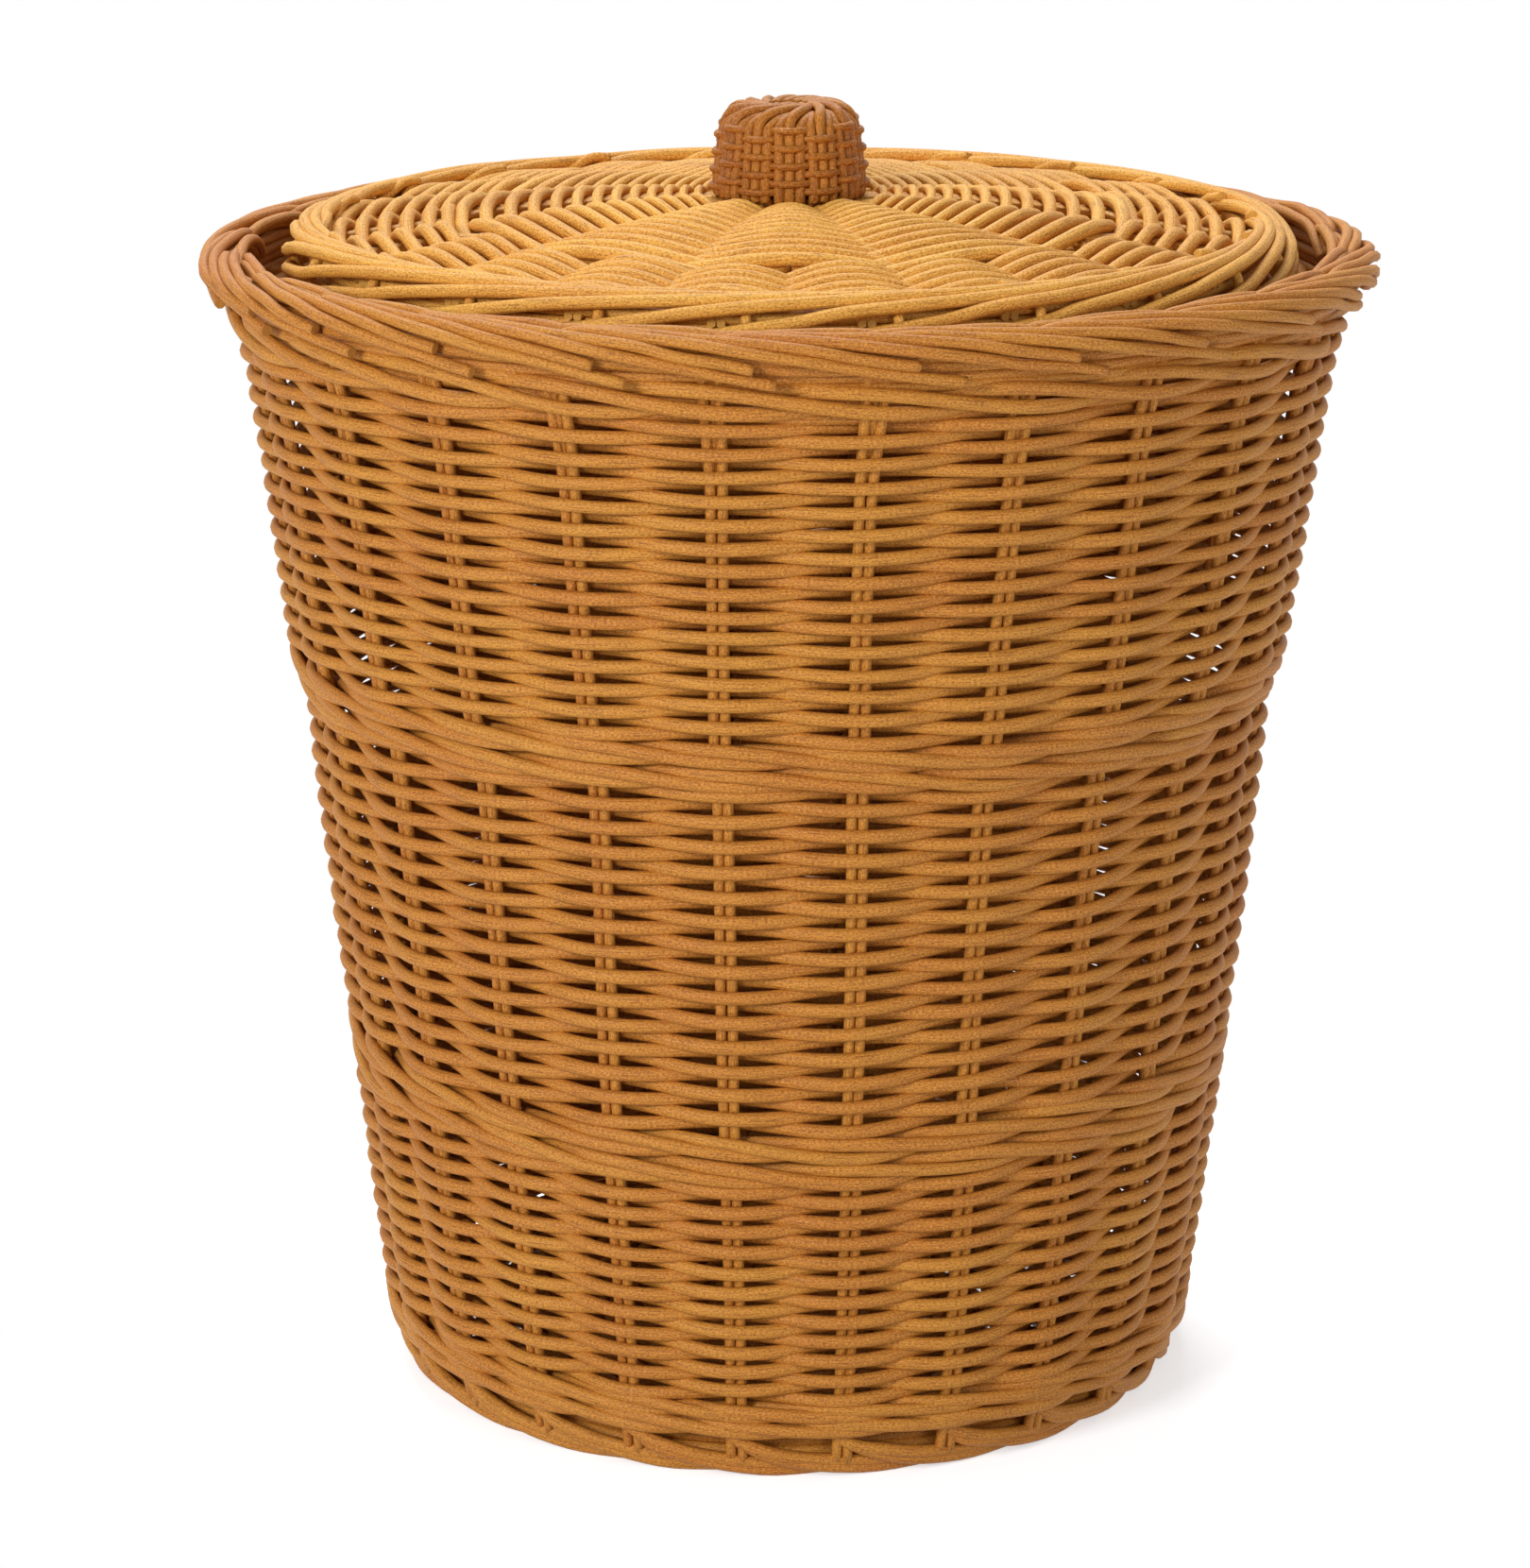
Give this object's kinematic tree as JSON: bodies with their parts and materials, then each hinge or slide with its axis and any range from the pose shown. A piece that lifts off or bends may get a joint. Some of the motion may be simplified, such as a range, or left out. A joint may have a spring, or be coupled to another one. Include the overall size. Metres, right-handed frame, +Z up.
{
  "type": "waste basket",
  "caption": "Round tapered wicker waste basket, open weave between stakes with dense wales, rolled rim and foot, and an inset domed lid with a woven knob",
  "frame": {"origin": "centre of the foot border's underside, on the floor", "axes": "+Z up along the basket's axis; -Y is the side that faces the camera in the picture"},
  "size_m": [0.28, 0.28, 0.3125],
  "materials": {
    "side_cane": "satin, honey-stained round rattan core",
    "lid_cane": "satin, paler honey-stained round rattan core",
    "knob_cane": "satin, darker stained fine rattan core"
  },
  "bodies": {
    "basket": {"stake_pair_01": "side_cane", "stake_pair_02": "side_cane", "stake_pair_03": "side_cane", "stake_pair_04": "side_cane", "stake_pair_05": "side_cane", "stake_pair_06": "side_cane", "stake_pair_07": "side_cane", "stake_pair_08": "side_cane", "stake_pair_09": "side_cane", "stake_pair_10": "side_cane", "stake_pair_11": "side_cane", "stake_pair_12": "side_cane", "stake_pair_13": "side_cane", "stake_pair_14": "side_cane", "stake_pair_15": "side_cane", "stake_pair_16": "side_cane", "stake_pair_17": "side_cane", "stake_pair_18": "side_cane", "stake_pair_19": "side_cane", "stake_pair_20": "side_cane", "stake_pair_21": "side_cane", "stake_pair_22": "side_cane", "stake_pair_23": "side_cane", "stake_pair_24": "side_cane", "foot_border": "side_cane", "base_spokes": "side_cane", "base_weaver_a": "side_cane", "base_weaver_b": "side_cane", "foot_wale": "side_cane", "lower_weaver_a": "side_cane", "lower_weaver_b": "side_cane", "middle_weaver_a": "side_cane", "middle_weaver_b": "side_cane", "upper_weaver_a": "side_cane", "upper_weaver_b": "side_cane", "lower_wale": "side_cane", "middle_wale": "side_cane", "top_wale": "side_cane", "rim_border": "side_cane", "lid_ledge": "side_cane"},
    "lid": {"lid_spokes": "lid_cane", "lid_inner_weaver": "lid_cane", "lid_outer_weaver_a": "lid_cane", "lid_outer_weaver_b": "lid_cane", "lid_border": "lid_cane", "knob_frame": "knob_cane", "knob_weaver": "knob_cane"}
  },
  "joints": [
    {"name": "lid_lift", "type": "slide", "parent": "basket", "child": "lid", "axis": [0, 0, 1], "range_m": [0, 0.3]}
  ]
}
